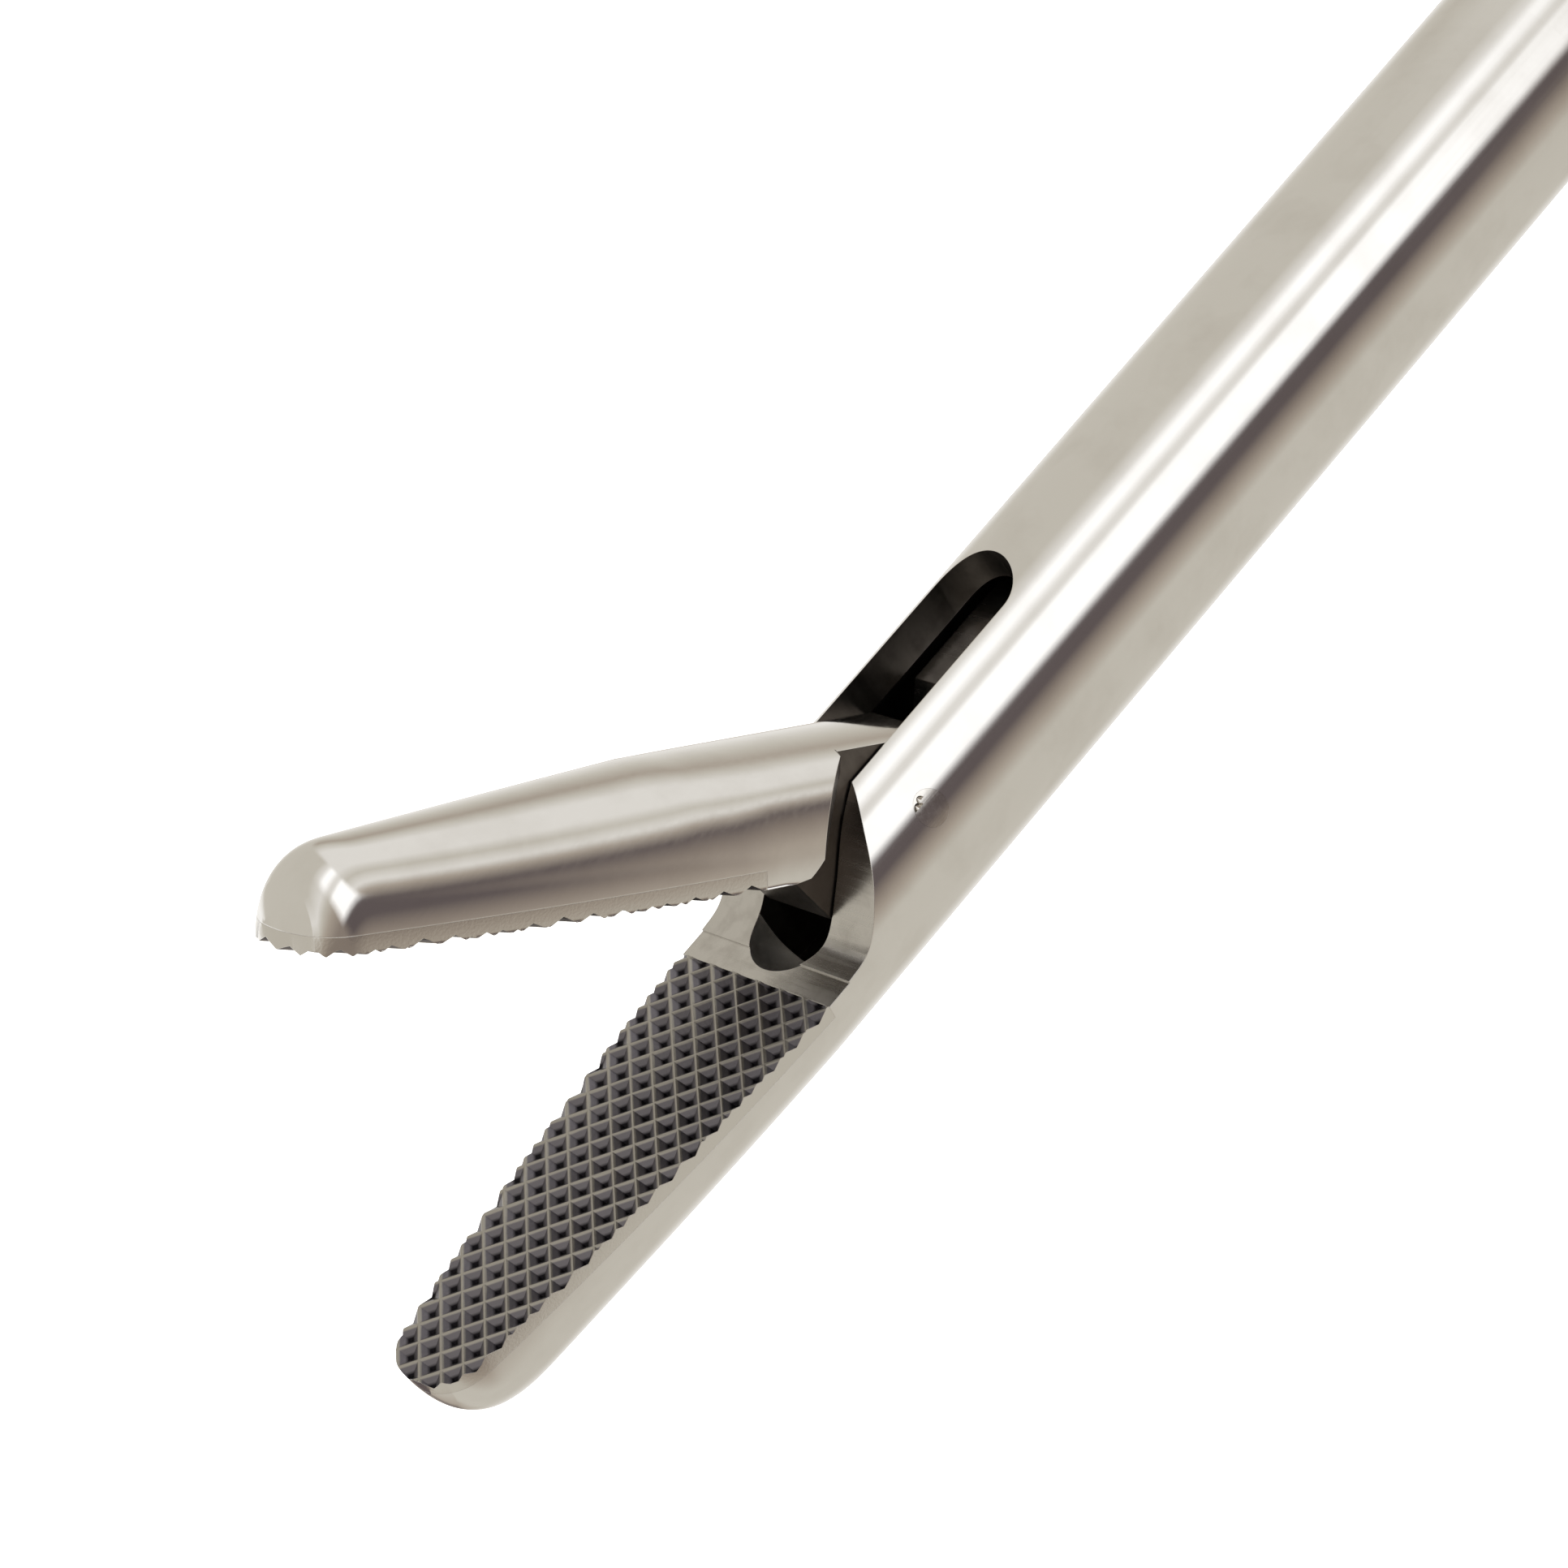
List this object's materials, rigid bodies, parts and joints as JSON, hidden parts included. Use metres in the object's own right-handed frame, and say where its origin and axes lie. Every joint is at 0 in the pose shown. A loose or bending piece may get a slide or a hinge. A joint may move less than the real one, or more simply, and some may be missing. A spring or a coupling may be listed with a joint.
{
  "type": "laparoscopic needle holder",
  "caption": "Slim surgical needle holder: squeezing a sprung, ratcheted handle pulls a rod in a straight round shaft and shuts one knurled jaw on a fixed one.",
  "frame": {"origin": "on the shaft's axis at the front face of the nose nut, where the shaft leaves the handle", "axes": "-X along the shaft towards the jaws, +X towards the grips, +Z the side that the jaw opens to and that the lever lies on, +Y across the flat sides"},
  "size_m": [0.4781, 0.0138, 0.0515],
  "materials": {
    "jaw_steel": "mirror polished stainless steel",
    "insert_carbide": "ground tungsten carbide with a diamond knurl",
    "shaft_steel": "mirror polished stainless steel",
    "pin_steel": "polished stainless steel",
    "rod_steel": "turned stainless steel",
    "nut_steel": "turned stainless steel",
    "handle_steel": "glass bead blasted stainless steel",
    "port_steel": "turned stainless steel",
    "cap_silicone": "moulded silicone",
    "seal_silicone": "moulded silicone",
    "screw_steel": "turned stainless steel",
    "spring_steel": "rolled spring steel",
    "ratchet_steel": "hardened and ground stainless steel"
  },
  "bodies": {
    "handle_and_shaft": {"fixed_jaw": "jaw_steel", "lower_jaw_insert": "insert_carbide", "shaft_tube": "shaft_steel", "jaw_pivot_pin": "pin_steel", "pawl_pivot_pin": "pin_steel", "nose_nut": "nut_steel", "handle_body": "handle_steel", "bore_plug": "handle_steel", "flush_port": "port_steel", "flush_port_cap": "cap_silicone", "rod_seal": "seal_silicone", "leaf_spring_screws": "screw_steel", "leaf_spring": "spring_steel", "pawl_spring": "spring_steel"},
    "lever": {"closing_lever": "handle_steel", "lever_hinge_screw": "screw_steel", "lever_drive_pin": "pin_steel", "ratchet_rack": "ratchet_steel", "rack_screws": "screw_steel"},
    "rod": {"pull_rod": "rod_steel", "rod_fork": "rod_steel", "jaw_drive_pin": "pin_steel", "rod_end_block": "rod_steel", "rod_lock_nut": "rod_steel"},
    "jaw": {"moving_jaw": "jaw_steel", "upper_jaw_insert": "insert_carbide"},
    "pawl": {"ratchet_pawl": "ratchet_steel"}
  },
  "joints": [
    {"name": "lever_squeeze", "type": "hinge", "parent": "handle_and_shaft", "child": "lever", "pos_m": [0.034, 0, -0.006], "axis": [0, 1, 0], "range_deg": [0, 12.25], "stiffness_Nm_per_rad": 1.9, "springref_deg": -5.73, "deforming": ["leaf_spring"]},
    {"name": "rod_slide", "type": "slide", "parent": "handle_and_shaft", "child": "rod", "axis": [1, 0, 0], "range_m": [0, 0.00128]},
    {"name": "jaw_close", "type": "hinge", "parent": "handle_and_shaft", "child": "jaw", "pos_m": [-0.31387, 0, 0.001], "axis": [0, -1, 0], "range_deg": [0, 38.7]},
    {"name": "pawl_release", "type": "hinge", "parent": "handle_and_shaft", "child": "pawl", "pos_m": [0.12538, 0, -0.02558], "axis": [0, 1, 0], "range_deg": [-8.31, 10], "stiffness_Nm_per_rad": 0.03, "deforming": ["pawl_spring"]}
  ],
  "couplings": [
    {"joint": "rod_slide", "follows": "lever_squeeze", "m_per_rad": 0.006},
    {"joint": "jaw_close", "follows": "lever_squeeze", "ratio": 3.1579}
  ]
}
